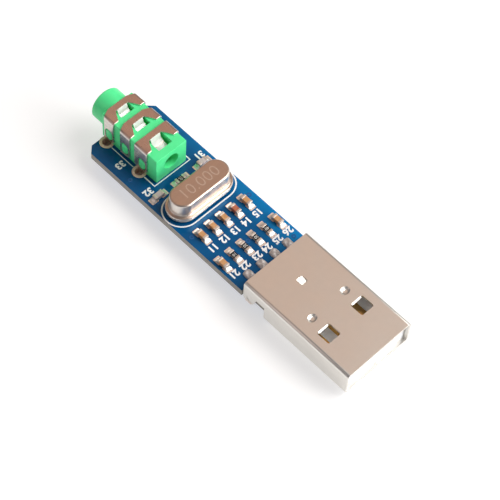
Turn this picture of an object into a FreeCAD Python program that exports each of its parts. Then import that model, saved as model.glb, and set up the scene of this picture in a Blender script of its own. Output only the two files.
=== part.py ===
import FreeCAD, Part
import Sketcher
import math
import os
import re

# A bare sound card stick: a plug, a circuit board and an audio jack in one line.
# The origin is the centre of the plug's mouth. +X points out of the mouth, +Z is up,
# and the board runs away along -X. All sizes are millimetres or degrees, and those that
# end in _at, _front or _rear are distances back from the mouth.

driving_sizes = {
    # Plug shell, one folded sheet
    "shell_width": 12.0,
    "shell_height": 4.5,
    "shell_length": 19.35,
    "shell_sheet": 0.3,
    "shell_fold": 0.5,
    "wall_length": 15.4,
    "wall_chamfer": 0.5,
    "ear_length": 2.4,
    "ear_foot": 1.85,
    "ear_drop": 3.6,
    "notch_drop": 1.7,
    "window_front": 5.2,
    "window_length": 2.2,
    "window_width": 2.3,
    "window_spacing": 6.3,
    "dimple_at": 9.4,
    "dimple_spacing": 6.2,
    "dimple_length": 0.9,
    "dimple_width": 1.3,
    "dimple_depth": 0.22,
    "lance_at": 14.45,
    "lance_length": 1.0,
    "lance_width": 1.0,
    "lance_depth": 0.24,
    # Plug insulator and its contacts
    "insulator_clearance": 0.05,
    "insulator_edge": 0.4,
    "tongue_front": 0.6,
    "tongue_height": 1.9,
    "block_front": 8.7,
    "block_rear": 14.0,
    "contact_width": 1.0,
    "contact_sheet": 0.25,
    "contact_proud": 0.05,
    "contact_clearance": 0.02,
    "power_front": 1.3,
    "data_front": 2.3,
    "power_offset": 3.5,
    "data_offset": 1.0,
    "step_gap": 0.2,
    "step_run": 0.8,
    "tail_pitch": 2.46,
    "tail_reach": 1.35,
    # Circuit board
    "board_top": 0.25,
    "board_thickness": 1.2,
    "board_width": 12.3,
    "board_setback": 0.3,
    "shoulder_gap": 0.15,
    "board_corner": 1.0,
    "nose_gap": 0.2,
    "nose_clearance": 0.1,
    # Audio jack
    "jack_rear_gap": 1.9,
    "jack_length": 11.1,
    "jack_width": 5.6,
    "jack_height": 4.95,
    "jack_edge": 0.15,
    "jack_axis": 2.65,
    "barrel_radius": 2.55,
    "barrel_length": 2.7,
    "barrel_edge": 0.25,
    "plug_radius": 1.8,
    "guide_length": 3.0,
    "chamber_radius": 2.0,
    "rear_wall": 1.0,
    "rear_hole_radius": 1.3,
    "slot_length": 1.55,
    "rear_slot_length": 2.4,
    "slot_width": 2.4,
    "slot_clearance": 0.1,
    "boss_level": 1.9,
    "boss_shift": 0.28,
    "boss_width": 1.2,
    "boss_height": 2.1,
    "boss_proud": 0.32,
    "boss_clearance": 0.12,
    # Jack clips, each one folded sheet
    "clip_rear_inset": 3.0,
    "clip_middle_inset": 6.5,
    "clip_front_inset": 9.78,
    "clip_width": 2.5,
    "clip_sheet": 0.25,
    "clip_strip": 0.95,
    "clip_corner_run": 0.6,
    "clip_corner_reach": 1.3,
    "notch_root": 2.3,
    "notch_mouth": 4.1,
    "spring_width": 1.75,
    "spring_bend": 0.3,
    "spring_dip": 0.95,
    "spring_under": 0.2,
    "spring_reach": 0.7,
    "spring_fall": 0.25,
    "rear_spring_reach": 1.4,
    "rear_spring_fall": 0.45,
    "leg_shoulder": 0.8,
    "leg_foot": 0.3,
    "short_leg": 0.4,
    "pin_width": 0.9,
    "pin_below": 0.8,
    "pin_hole_radius": 0.85,
    "pin_hole_offset": 0.3,
    # Crystal
    "crystal_row_gap": 5.05,
    "crystal_gap": 0.35,
    "crystal_height": 3.5,
    "flange_length": 11.1,
    "flange_width": 4.85,
    "flange_sheet": 0.35,
    "base_thickness": 0.45,
    "can_length": 10.2,
    "can_width": 3.75,
    "can_edge": 0.45,
    "lead_radius": 0.22,
    "lead_spacing": 4.88,
    "lead_hole_radius": 0.4,
    # Chip capacitors and resistors
    "chip_length": 1.6,
    "chip_width": 0.85,
    "capacitor_height": 0.8,
    "resistor_height": 0.45,
    "cap_length": 0.38,
    "cap_wall": 0.03,
    "solder_length": 0.6,
    "solder_edge": 0.06,
    "solder_climb": 0.3,
    "first_row_gap": 5.15,
    "first_row_pitch": 2.08,
    "second_row_gap": 4.8,
    "second_row_pitch": 2.06,
    "third_row_gap": 3.75,
    "third_row_offset": 4.15,
    # Solder on the tails and on the pins
    "tail_solder_length": 1.5,
    "tail_solder_width": 1.25,
    "tail_solder_height": 0.45,
    "tail_crown_length": 0.8,
    "tail_crown_width": 0.7,
    "pin_joint_radius": 1.3,
    "lead_joint_radius": 0.85,
    "joint_height": 0.6,
    "joint_slope": 45.0,
    "joint_sides": 8,
    # Decoder chip under the board
    "decoder_setback": 3.25,
    "decoder_length": 10.2,
    "decoder_width": 5.3,
    "decoder_height": 1.75,
    "decoder_gap": 0.15,
    "decoder_draft": 7.0,
    "decoder_dot_radius": 0.5,
    "decoder_dot_depth": 0.08,
    "decoder_dot_inset": 1.1,
    "gull_pitch": 0.65,
    "gull_count": 14,
    "gull_width": 0.3,
    "gull_sheet": 0.2,
    "gull_reach": 0.3,
    "gull_lean": 0.12,
    "gull_span": 7.8,
    # How far a cut runs past the piece it cuts
    "overrun": 1.0,
}

doc = FreeCAD.newDocument("sound_card_module")
sheet = doc.addObject("Spreadsheet::Sheet", "Sizes")
for row, (alias, value) in enumerate(driving_sizes.items(), start=1):
    sheet.set("A%d" % row, alias)
    sheet.set("B%d" % row, str(value))
    sheet.setAlias("B%d" % row, alias)
doc.recompute()

# Places along the stick, as distances back from the mouth: each row follows the one before it
places = {
    "step_start": "block_rear + step_gap",
    "step_end": "step_start + step_run",
    "nose_end": "step_end + nose_gap",
    "board_shoulder": "shell_length + shoulder_gap",
    "tail_end": "shell_length + tail_reach",
    "second_row_at": "shell_length + second_row_gap",
    "decoder_at": "second_row_at + decoder_setback",
    "first_row_at": "second_row_at + first_row_gap",
    "crystal_at": "first_row_at + crystal_row_gap",
    "third_row_at": "crystal_at + third_row_gap",
    "jack_rear": "third_row_at + jack_rear_gap",
    "clip_rear_at": "jack_rear + clip_rear_inset",
    "clip_middle_at": "jack_rear + clip_middle_inset",
    "clip_front_at": "jack_rear + clip_front_inset",
    "jack_shoulder": "jack_rear + jack_length",
    "board_end": "jack_shoulder - board_setback",
    "barrel_end": "jack_shoulder + barrel_length",
}

# Levels and widths that several pieces share
shell_top = "shell_height / 2"
shell_floor = "(shell_sheet - shell_height / 2)"
inner_width = "(shell_width - 2 * shell_sheet)"
groove_floor = "(%s + tongue_height - contact_sheet + contact_proud)" % shell_floor
board_bottom = "(board_top - board_thickness)"
jack_top = "(board_top + jack_height)"
jack_centre = "(board_top + jack_axis)"
boss_centre = "(board_top + boss_level)"
clip_top = "(%s + clip_sheet)" % jack_top
crystal_base_level = "(board_top + crystal_gap)"
crystal_can_level = "(board_top + crystal_gap + base_thickness)"
decoder_middle = "(%s - decoder_gap - decoder_height / 2)" % board_bottom

pieces = []


def bound(formula):
    def cell(word):
        name = word.group()
        return "(%s)" % bound(places[name]) if name in places else "Sizes." + name

    return re.sub(r"[a-z][a-z_]*", cell, str(formula))


def tie(thing, **formulas):
    for name, formula in formulas.items():
        thing.setExpression(name, bound(formula))
    return thing


def place(thing, x, y, z):
    for axis, formula in zip("xyz", (x, y, z)):
        thing.setExpression("Placement.Base." + axis, bound(formula))
    return thing


def finished(thing, label):
    thing.Label = label
    pieces.append(thing)
    return thing


# Sketches and features of a body

def new_body(label, several_solids=False):
    body = doc.addObject("PartDesign::Body", label)
    body.AllowCompound = several_solids
    return finished(body, label)


def sketch_on(body, plane_role, level="0"):
    plane = [datum for datum in body.Origin.OriginFeatures if datum.Role == plane_role][0]
    sketch = body.newObject("Sketcher::SketchObject", body.Label + "_sketch")
    sketch.AttachmentSupport = [(plane, "")]
    sketch.MapMode = "FlatFace"
    sketch.setExpression("AttachmentOffset.Base.z", bound(level))
    return sketch


def pin(sketch, curve, end, axis, formula):
    drawn_at = getattr(sketch.getPoint(curve, end), axis.lower())
    rule = sketch.addConstraint(Sketcher.Constraint("Distance" + axis, -1, 1, curve, end, drawn_at))
    sketch.setExpression("Constraints[%d]" % rule, bound(formula))


def pin_point(sketch, curve, end, across, up):
    pin(sketch, curve, end, "X", across)
    pin(sketch, curve, end, "Y", up)


def add_outline(sketch, corners):
    count = len(corners)
    first = sketch.GeometryCount
    turns = [2 * math.pi * corner / count for corner in range(count)]
    ring = [FreeCAD.Vector(math.cos(turn), math.sin(turn), 0) for turn in turns]
    for corner in range(count):
        sketch.addGeometry(Part.LineSegment(ring[corner], ring[(corner + 1) % count]))
    for corner in range(count):
        following = first + (corner + 1) % count
        sketch.addConstraint(Sketcher.Constraint("Coincident", first + corner, 2, following, 1))
    for corner, (across, up) in enumerate(corners):
        pin_point(sketch, first + corner, 1, across, up)
    return sketch


def add_rectangle(sketch, across, up, width, height):
    left, right = "%s - (%s) / 2" % (across, width), "%s + (%s) / 2" % (across, width)
    low, high = "%s - (%s) / 2" % (up, height), "%s + (%s) / 2" % (up, height)
    return add_outline(sketch, [(left, low), (right, low), (right, high), (left, high)])


def add_disc(sketch, across, up, radius):
    circle = Part.Circle(FreeCAD.Vector(0, 0, 0), FreeCAD.Vector(0, 0, 1), 1)
    curve = sketch.addGeometry(circle)
    pin_point(sketch, curve, 3, across, up)
    rule = sketch.addConstraint(Sketcher.Constraint("Radius", curve, 1.0))
    sketch.setExpression("Constraints[%d]" % rule, bound(radius))
    return sketch


def add_slot(sketch, across, up, width, height):
    left, right = "%s - (%s) / 2" % (across, width), "%s + (%s) / 2" % (across, width)
    low, high = "%s - (%s - %s) / 2" % (up, height, width), "%s + (%s - %s) / 2" % (up, height, width)
    corners = [FreeCAD.Vector(x, y, 0) for x, y in ((1, -1), (1, 1), (-1, 1), (-1, -1))]
    normal = FreeCAD.Vector(0, 0, 1)
    upper = Part.Circle(FreeCAD.Vector(0, 1, 0), normal, 1)
    lower = Part.Circle(FreeCAD.Vector(0, -1, 0), normal, 1)
    right_line = sketch.addGeometry(Part.LineSegment(corners[0], corners[1]))
    upper_arc = sketch.addGeometry(Part.ArcOfCircle(upper, 0, math.pi))
    left_line = sketch.addGeometry(Part.LineSegment(corners[2], corners[3]))
    lower_arc = sketch.addGeometry(Part.ArcOfCircle(lower, math.pi, 2 * math.pi))
    ring = [right_line, upper_arc, left_line, lower_arc]
    for curve, following in zip(ring, ring[1:] + ring[:1]):
        sketch.addConstraint(Sketcher.Constraint("Coincident", curve, 2, following, 1))
    for curve, end, x, y in ((right_line, 1, right, low), (right_line, 2, right, high),
                             (left_line, 1, left, high), (left_line, 2, left, low)):
        pin_point(sketch, curve, end, x, y)
    for arc, level in ((upper_arc, high), (lower_arc, low)):
        pin(sketch, arc, 3, "Y", level)
    return sketch


def add_feature(body, kind, sketch, length, sides, backwards):
    feature = body.newObject("PartDesign::" + kind, body.Label + "_" + kind.lower())
    feature.Profile = sketch
    feature.SideType = sides
    feature.Reversed = backwards
    return tie(feature, Length=length)


def pad(body, sketch, length, sides="One side", backwards=False):
    return add_feature(body, "Pad", sketch, length, sides, backwards)


def pocket(body, sketch, length, sides="One side", backwards=False):
    feature = add_feature(body, "Pocket", sketch, length, sides, backwards)
    doc.recompute()
    if feature.Shape.Volume >= feature.BaseFeature.Shape.Volume:
        raise RuntimeError(feature.Name + " cuts nothing")
    return feature


def ease(body, kind, chosen):
    doc.recompute()
    base = body.Tip
    names = ["Edge%d" % (i + 1) for i, edge in enumerate(base.Shape.Edges) if chosen(edge)]
    feature = body.newObject("PartDesign::" + kind, body.Label + "_" + kind.lower())
    feature.Base = (base, names)
    return feature


def fillet(body, radius, chosen):
    return tie(ease(body, "Fillet", chosen), Radius=radius)


def chamfer(body, leg, chosen):
    return tie(ease(body, "Chamfer", chosen), Size=leg)


def size(alias):
    return float(sheet.get(alias))


def runs_along(edge, axis):
    direction = edge.Vertexes[-1].Point - edge.Vertexes[0].Point
    return direction.Length > 0 and abs(direction.normalize().dot(axis)) > 0.999


def near(value, target):
    return abs(value - target) < 1e-4


x_axis = FreeCAD.Vector(1, 0, 0)

# A wedge is drawn lying on its side: this stands it up
stand = FreeCAD.Rotation(x_axis, 90)


# Blocks and groups of separate solids

def block(name, centre, extents):
    box = doc.addObject("Part::Box", name)
    tie(box, Length=extents[0], Width=extents[1], Height=extents[2])
    rear = "%s - (%s) / 2" % (centre[0], extents[0])
    right = "%s - (%s) / 2" % (centre[1], extents[1])
    return place(box, rear, right, centre[2])


def combined(kind, name, **links):
    thing = doc.addObject("Part::" + kind, name)
    for link, target in links.items():
        setattr(thing, link, target)
    return thing


def cut(name, base, tool):
    return combined("Cut", name, Base=base, Tool=tool)


# Plug

def make_shell():
    body = new_body("usb_shell")
    pad(body, add_rectangle(sketch_on(body, "YZ_Plane"), 0, 0, "shell_width", "shell_height"),
        "shell_length", backwards=True)
    fillet(body, "shell_fold", lambda edge: runs_along(edge, x_axis))
    inside = sketch_on(body, "YZ_Plane")
    add_rectangle(inside, 0, 0, inner_width, "shell_height - 2 * shell_sheet")
    pocket(body, inside, "shell_length")
    inner_side = size("shell_width") / 2 - size("shell_sheet")
    fillet(body, "shell_fold - shell_sheet",
           lambda edge: runs_along(edge, x_axis) and near(abs(edge.Vertexes[0].Y), inner_side))
    # Behind the lower walls only the top plate and its two ears go on
    rear = sketch_on(body, "XZ_Plane")
    add_outline(rear, [
        ("-shell_length - overrun", "-shell_height / 2 - overrun"),
        ("-shell_length - overrun", "shell_height / 2 - ear_drop"),
        ("-shell_length + ear_foot", "shell_height / 2 - ear_drop"),
        ("-shell_length + ear_length", "shell_height / 2 - notch_drop"),
        ("-wall_length", "shell_height / 2 - notch_drop"),
        ("-wall_length", "wall_chamfer - shell_height / 2"),
        ("-wall_length + wall_chamfer", "-shell_height / 2"),
        ("-wall_length + wall_chamfer", "-shell_height / 2 - overrun"),
    ])
    pocket(body, rear, "shell_width + overrun", sides="Symmetric")
    windows = sketch_on(body, "XY_Plane")
    for side in "-+":
        add_rectangle(windows, "-window_front - window_length / 2", side + "window_spacing / 2",
                      "window_length", "window_width")
    pocket(body, windows, "shell_height + overrun", sides="Symmetric")
    dimples = sketch_on(body, "XY_Plane", shell_top)
    for side in "-+":
        add_slot(dimples, "-dimple_at", side + "dimple_spacing / 2", "dimple_length", "dimple_width")
    pocket(body, dimples, "dimple_depth")
    # A lanced tab: its floor slopes down towards the mouth
    lance = sketch_on(body, "XZ_Plane")
    add_outline(lance, [
        ("-lance_at - lance_length / 2", shell_top),
        ("-lance_at + lance_length / 2", shell_top),
        ("-lance_at + lance_length / 2", shell_top + " - lance_depth"),
    ])
    pocket(body, lance, "lance_width", sides="Symmetric")


def make_insulator():
    body = new_body("usb_insulator")
    side = sketch_on(body, "XZ_Plane")
    roof = "shell_height / 2 - shell_sheet - insulator_clearance"
    tongue_top = shell_floor + " + tongue_height"
    add_outline(side, [
        ("-tongue_front", shell_floor),
        ("-tongue_front", tongue_top),
        ("-block_front", tongue_top),
        ("-block_front", roof),
        ("-block_rear", roof),
        ("-block_rear", shell_floor),
    ])
    pad(body, side, inner_width + " - 2 * insulator_clearance", sides="Symmetric")
    fillet(body, "insulator_edge", lambda edge: runs_along(edge, x_axis))
    for front, offset in (("power_front", "power_offset"), ("data_front", "data_offset")):
        grooves = sketch_on(body, "YZ_Plane", "-" + front)
        depth = "contact_sheet + contact_clearance"
        for way in "-+":
            add_rectangle(grooves, way + offset, "%s + (%s) / 2" % (groove_floor, depth),
                          "contact_width + 2 * contact_clearance", depth)
        pocket(body, grooves, "block_rear + overrun - " + front)


def make_contact(number, front, offset, tail):
    body = new_body("usb_contact_%d" % number)
    half = "contact_width / 2"
    plan = sketch_on(body, "XY_Plane", groove_floor)
    add_outline(plan, [
        ("-" + front, "%s - %s" % (offset, half)),
        ("-" + front, "%s + %s" % (offset, half)),
        ("-step_start", "%s + %s" % (offset, half)),
        ("-step_end", "%s + %s" % (tail, half)),
        ("-tail_end", "%s + %s" % (tail, half)),
        ("-tail_end", "%s - %s" % (tail, half)),
        ("-step_end", "%s - %s" % (tail, half)),
        ("-step_start", "%s - %s" % (offset, half)),
    ])
    tail_top = "board_top + contact_sheet"
    pad(body, plan, "%s - %s" % (tail_top, groove_floor))
    # The strip steps up from the tongue to the board's top between these two cuts
    below = sketch_on(body, "XZ_Plane")
    add_outline(below, [
        ("-step_start", groove_floor),
        ("-step_end", "board_top"),
        ("-tail_end - overrun", "board_top"),
        ("-tail_end - overrun", groove_floor + " - overrun"),
        ("-step_start", groove_floor + " - overrun"),
    ])
    pocket(body, below, "2 * shell_width", sides="Symmetric")
    above = sketch_on(body, "XZ_Plane")
    add_outline(above, [
        ("overrun", groove_floor + " + contact_sheet"),
        ("-step_start", groove_floor + " + contact_sheet"),
        ("-step_end", tail_top),
        ("-step_end", tail_top + " + overrun"),
        ("overrun", tail_top + " + overrun"),
    ])
    pocket(body, above, "2 * shell_width", sides="Symmetric")
    return body


# Circuit board

def make_board(pin_places, lead_places):
    body = new_body("circuit_board")
    nose = "(%s / 2 - nose_clearance)" % inner_width
    plan = sketch_on(body, "XY_Plane", board_bottom)
    far_side = [
        ("-nose_end", nose),
        ("-board_shoulder", nose),
        ("-board_shoulder", "board_width / 2"),
        ("-board_end + board_corner", "board_width / 2"),
        ("-board_end", "board_width / 2 - board_corner"),
    ]
    near_side = [(along, "-(%s)" % across) for along, across in reversed(far_side)]
    add_outline(plan, far_side + near_side)
    pad(body, plan, "board_thickness")
    holes = sketch_on(body, "XY_Plane", "board_top")
    for spots, radius in ((pin_places, "pin_hole_radius"), (lead_places, "lead_hole_radius")):
        for along, across in spots:
            add_disc(holes, along, across, radius)
    pocket(body, holes, "board_thickness")


# Audio jack

def boss_place(clip_at):
    return "-%s + boss_shift" % clip_at


def spring_root(clip_at):
    return "-%s - clip_width / 2 + clip_strip" % clip_at


def make_jack_body(clip_slots):
    body = new_body("jack_body")
    section = sketch_on(body, "YZ_Plane", "-jack_rear")
    add_rectangle(section, 0, "board_top + jack_height / 2", "jack_width", "jack_height")
    pad(body, section, "jack_length", backwards=True)
    top = size("board_top") + size("jack_height")
    fillet(body, "jack_edge", lambda edge: runs_along(edge, x_axis) and near(edge.Vertexes[0].Z, top))
    bosses = sketch_on(body, "XZ_Plane")
    for clip_at, length in clip_slots:
        add_slot(bosses, boss_place(clip_at), boss_centre, "boss_width", "boss_height")
    pad(body, bosses, "jack_width + 2 * boss_proud", sides="Symmetric")
    barrel = sketch_on(body, "YZ_Plane", "-jack_shoulder")
    add_disc(barrel, 0, jack_centre, "barrel_radius")
    pad(body, barrel, "barrel_length", backwards=True)
    chamfer(body, "barrel_edge", lambda edge: near(edge.BoundBox.XMax, body.Shape.BoundBox.XMin))
    guide = sketch_on(body, "YZ_Plane", "-barrel_end")
    pocket(body, add_disc(guide, 0, jack_centre, "plug_radius"), "guide_length", backwards=True)
    chamber = sketch_on(body, "YZ_Plane", "guide_length - barrel_end")
    pocket(body, add_disc(chamber, 0, jack_centre, "chamber_radius"),
           "jack_length + barrel_length - guide_length - rear_wall", backwards=True)
    rear = sketch_on(body, "YZ_Plane", "-jack_rear")
    pocket(body, add_disc(rear, 0, jack_centre, "rear_hole_radius"), "rear_wall")
    slots = sketch_on(body, "XY_Plane", jack_top)
    for clip_at, length in clip_slots:
        start = spring_root(clip_at) + " - spring_under - slot_clearance"
        add_rectangle(slots, "%s + %s / 2" % (start, length), 0, length, "slot_width")
    pocket(body, slots, "jack_height - jack_axis")


def make_clip(label, clip_at, pin_side, spring_reach, spring_fall, cut_corners):
    body = new_body(label)
    outer = "(jack_width / 2 + clip_sheet)"
    inner = "jack_width / 2"
    pin_end = board_bottom + " - pin_below"
    short_end = "board_top + short_leg"
    left_end, right_end = (pin_end, short_end) if pin_side < 0 else (short_end, pin_end)
    section = sketch_on(body, "YZ_Plane", "-" + clip_at)
    add_outline(section, [
        ("-" + outer, left_end), ("-" + outer, clip_top), (outer, clip_top), (outer, right_end),
        (inner, right_end), (inner, jack_top), ("-" + inner, jack_top), ("-" + inner, left_end),
    ])
    pad(body, section, "clip_width", sides="Symmetric")
    top = size("board_top") + size("jack_height")
    half = size("jack_width") / 2
    fillet(body, "jack_edge", lambda edge: runs_along(edge, x_axis) and near(edge.Vertexes[0].Z, top)
           and near(abs(edge.Vertexes[0].Y), half))
    high = top + size("clip_sheet")
    fillet(body, "jack_edge + clip_sheet",
           lambda edge: runs_along(edge, x_axis) and near(edge.Vertexes[0].Z, high))
    # The legs taper to the solder pin
    for way in "-+":
        waste = sketch_on(body, "XZ_Plane")
        edge = "-%s %s (clip_width / 2 + overrun)" % (clip_at, way)
        side = "-%s %s clip_width / 2" % (clip_at, way)
        neck = "-%s %s pin_width / 2" % (clip_at, way)
        add_outline(waste, [
            (side, "board_top + leg_shoulder"),
            (neck, "board_top + leg_foot"),
            (neck, pin_end + " - overrun"),
            (edge, pin_end + " - overrun"),
            (edge, "board_top + leg_shoulder"),
        ])
        pocket(body, waste, "2 * jack_width", sides="Symmetric")
    # The front and middle clips have their back corners cut off on a slant, down into the legs
    back = "-%s - clip_width / 2" % clip_at
    for way in cut_corners:
        corner = sketch_on(body, "XY_Plane")
        slant_start = "%s(%s - clip_corner_reach)" % (way, outer)
        beyond = "%s(%s + overrun)" % (way, outer)
        add_outline(corner, [
            (back, slant_start),
            (back + " + clip_corner_run", way + outer),
            (back + " + clip_corner_run", beyond),
            (back + " - overrun", beyond),
            (back + " - overrun", slant_start),
        ])
        pocket(body, corner, "4 * jack_height", sides="Symmetric")
    # A notch frees the spring tongue
    root = spring_root(clip_at)
    lip = "-%s + clip_width / 2" % clip_at
    notch = sketch_on(body, "XY_Plane", clip_top)
    add_outline(notch, [
        (root, "-notch_root / 2"),
        (lip, "-notch_mouth / 2"),
        (lip, "notch_mouth / 2"),
        (root, "notch_root / 2"),
    ])
    pocket(body, notch, "clip_sheet")
    spring = sketch_on(body, "XZ_Plane")
    bend = root + " + spring_bend"
    end = "%s + %s" % (bend, spring_reach)
    end_level = " - spring_dip - " + spring_fall
    add_outline(spring, [
        (root, clip_top),
        (bend, clip_top + " - spring_dip"),
        (end, clip_top + end_level),
        (end, jack_top + end_level),
        (bend + " - spring_under", clip_top + " - spring_dip - spring_under"),
        (root + " - spring_under", jack_top),
    ])
    pad(body, spring, "spring_width", sides="Symmetric")
    windows = sketch_on(body, "XZ_Plane")
    add_slot(windows, boss_place(clip_at), boss_centre, "(boss_width + 2 * boss_clearance)",
             "(boss_height + 2 * boss_clearance)")
    pocket(body, windows, "2 * jack_width", sides="Symmetric")
    return body


# Crystal

def make_crystal():
    base = new_body("crystal_base")
    plate = sketch_on(base, "XY_Plane", crystal_base_level)
    pad(base, add_slot(plate, "-crystal_at", 0, "flange_width", "flange_length"), "base_thickness")
    can = new_body("crystal_can")
    rim = sketch_on(can, "XY_Plane", crystal_can_level)
    pad(can, add_slot(rim, "-crystal_at", 0, "flange_width", "flange_length"), "flange_sheet")
    cup = sketch_on(can, "XY_Plane", crystal_can_level)
    pad(can, add_slot(cup, "-crystal_at", 0, "can_width", "can_length"),
        "crystal_height - crystal_gap - base_thickness")
    top = size("board_top") + size("crystal_height")
    fillet(can, "can_edge", lambda edge: near(edge.BoundBox.ZMin, top))


def make_crystal_leads(lead_places):
    leads = []
    for along, across in lead_places:
        lead = doc.addObject("Part::Cylinder", "crystal_lead")
        tie(lead, Radius="lead_radius", Height="crystal_gap + board_thickness")
        leads.append(place(lead, along, across, board_bottom))
    finished(combined("Compound", "crystal_leads", Links=leads), "crystal_leads")


# Chips with metal end caps, and their solder

def make_chip(label, height, along, across, turned):
    def spread(long_size, short_size):
        return (short_size, long_size) if turned else (long_size, short_size)

    def shifted(distance):
        if turned:
            return along, "%s + %s" % (across, distance)
        return "%s + %s" % (along, distance), across

    core_level = "board_top + cap_wall"
    core_extents = spread("chip_length - 2 * cap_wall", "chip_width - 2 * cap_wall")
    core = block(label, (along, across, core_level), core_extents + (height + " - 2 * cap_wall",))
    finished(core, label)
    ends, solder = [], []
    for way in "-+":
        centre = shifted("(%s(chip_length - cap_length) / 2)" % way)
        end_extents = spread("cap_length", "chip_width") + (height,)
        ends.append(block(label + "_end", centre + ("board_top",), end_extents))
        solder.append(make_fillet_wedge(label, way, height, shifted, turned))
    both = combined("MultiFuse", label + "_ends", Shapes=ends)
    finished(cut(label + "_caps", both, core), label + "_end_caps")
    return solder


def make_fillet_wedge(label, way, height, shifted, turned):
    wedge = doc.addObject("Part::Wedge", label + "_solder")
    climb = height + " - solder_climb"
    tie(wedge, Xmin="0", Xmax="solder_length", Ymin="0", Ymax=climb, Zmin="0", Zmax="chip_width",
        X2min="0", X2max="solder_edge", Z2min="0", Z2max="chip_width")
    angle = {("+", False): 0, ("-", False): 180, ("+", True): 90, ("-", True): 270}[way, turned]
    turn = FreeCAD.Rotation(FreeCAD.Vector(0, 0, 1), angle)
    wedge.Placement.Rotation = turn.multiply(stand)
    sideways = {0: ("0", "+ chip_width / 2"), 180: ("0", "- chip_width / 2"),
                90: ("- chip_width / 2", "0"), 270: ("+ chip_width / 2", "0")}[angle]
    along, across = shifted("(%schip_length / 2)" % way)
    x, y = "%s + (%s)" % (along, sideways[0]), "%s + (%s)" % (across, sideways[1])
    return place(wedge, x, y, "board_top")


def make_chips():
    solder = []

    def add(label, height, along, across, turned=False):
        solder.extend(make_chip(label, height, along, across, turned))

    for number in range(5):
        add("capacitor_%d" % (number + 1), "capacitor_height", "-first_row_at",
            "%d * first_row_pitch" % (number - 2))
    second_row = ["capacitor_6", "resistor_1", "resistor_2", "resistor_3", "resistor_4", "capacitor_7"]
    for number, label in enumerate(second_row):
        height = label.split("_")[0] + "_height"
        add(label, height, "-second_row_at", "%.1f * second_row_pitch" % (number - 2.5))
    add("capacitor_8", "capacitor_height", "-third_row_at", "-third_row_offset", turned=True)
    add("resistor_5", "resistor_height", "-third_row_at", "0", turned=True)
    add("capacitor_9", "capacitor_height", "-third_row_at", "third_row_offset", turned=True)
    finished(combined("Compound", "chip_solder", Links=solder), "chip_solder")


# Solder on the contact tails and on the pins under the board

def make_tail_solder(tails):
    mounds = []
    for tail, contact in tails:
        mound = doc.addObject("Part::Wedge", "tail_mound")
        tie(mound, Xmin="-tail_solder_length / 2", Xmax="tail_solder_length / 2", Ymin="0",
            Ymax="tail_solder_height", Zmin="-tail_solder_width / 2", Zmax="tail_solder_width / 2",
            X2min="-tail_crown_length / 2", X2max="tail_crown_length / 2",
            Z2min="-tail_crown_width / 2", Z2max="tail_crown_width / 2")
        mound.Placement.Rotation = stand
        place(mound, "-tail_end", tail, "board_top")
        mounds.append(cut("tail_joint", mound, contact))
    finished(combined("Compound", "tail_solder", Links=mounds), "tail_solder")


def make_joint(spot, radius):
    rim = doc.addObject("Part::RegularPolygon", "joint_rim")
    place(tie(rim, Polygon="joint_sides", Circumradius=radius), *spot, board_bottom)
    joint = doc.addObject("Part::Extrusion", "joint")
    joint.Base = rim
    joint.DirMode = "Custom"
    joint.Dir = FreeCAD.Vector(0, 0, -1)
    joint.Solid = True
    return tie(joint, LengthFwd="joint_height", TaperAngle="-joint_slope")


def make_pin_solder(pin_places, clip_bodies, lead_places):
    joints = []
    for spot, clip in zip(pin_places, clip_bodies):
        joints.append(cut("pin_joint", make_joint(spot, "pin_joint_radius"), clip))
    for spot in lead_places:
        joints.append(make_joint(spot, "lead_joint_radius"))
    finished(combined("Compound", "pin_solder", Links=joints), "pin_solder")


# Decoder chip under the board

def make_decoder():
    body = new_body("decoder_chip")
    waist = sketch_on(body, "XY_Plane", decoder_middle)
    add_rectangle(waist, "-decoder_at", 0, "decoder_length", "decoder_width")
    moulding = pad(body, waist, "decoder_height / 2", sides="Two sides")
    tie(moulding, Length2="decoder_height / 2", TaperAngle="-decoder_draft", TaperAngle2="-decoder_draft")
    face = "%s - decoder_height / 2" % decoder_middle
    dot = sketch_on(body, "XY_Plane", face)
    add_disc(dot, "-decoder_at - decoder_length / 2 + decoder_dot_inset",
             "decoder_width / 2 - decoder_dot_inset", "decoder_dot_radius")
    pocket(body, dot, "decoder_dot_depth", backwards=True)


def gull_places():
    count = int(size("gull_count"))
    return ["-decoder_at + %.1f * gull_pitch" % (number - (count - 1) / 2) for number in range(count)]


def make_decoder_leads():
    side = "decoder_width / 2"
    knee = side + " + gull_reach"
    foot = "gull_span / 2"
    leads = []
    for along in gull_places():
        for way in "-+":
            lead = doc.addObject("PartDesign::Body", "decoder_lead")
            section = sketch_on(lead, "YZ_Plane", along)
            corners = [
                (side, decoder_middle + " - gull_sheet / 2"),
                (knee + " + gull_sheet", decoder_middle + " - gull_sheet / 2"),
                (knee + " + gull_sheet + gull_lean", board_bottom + " - gull_sheet"),
                (foot, board_bottom + " - gull_sheet"),
                (foot, board_bottom),
                (knee + " + gull_lean", board_bottom),
                (knee, decoder_middle + " + gull_sheet / 2"),
                (side, decoder_middle + " + gull_sheet / 2"),
            ]
            add_outline(section, [("%s(%s)" % (way, across), up) for across, up in corners])
            pad(lead, section, "gull_width", sides="Symmetric")
            leads.append(lead)
    finished(combined("Compound", "decoder_leads", Links=leads), "decoder_leads")


# The whole stick

make_shell()
make_insulator()
contact_ways = [
    ("power_front", "-power_offset", "-1.5 * tail_pitch"),
    ("data_front", "-data_offset", "-0.5 * tail_pitch"),
    ("data_front", "data_offset", "0.5 * tail_pitch"),
    ("power_front", "power_offset", "1.5 * tail_pitch"),
]
tails = []
for number, (front, offset, tail) in enumerate(contact_ways, start=1):
    tails.append((tail, make_contact(number, front, offset, tail)))

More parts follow.
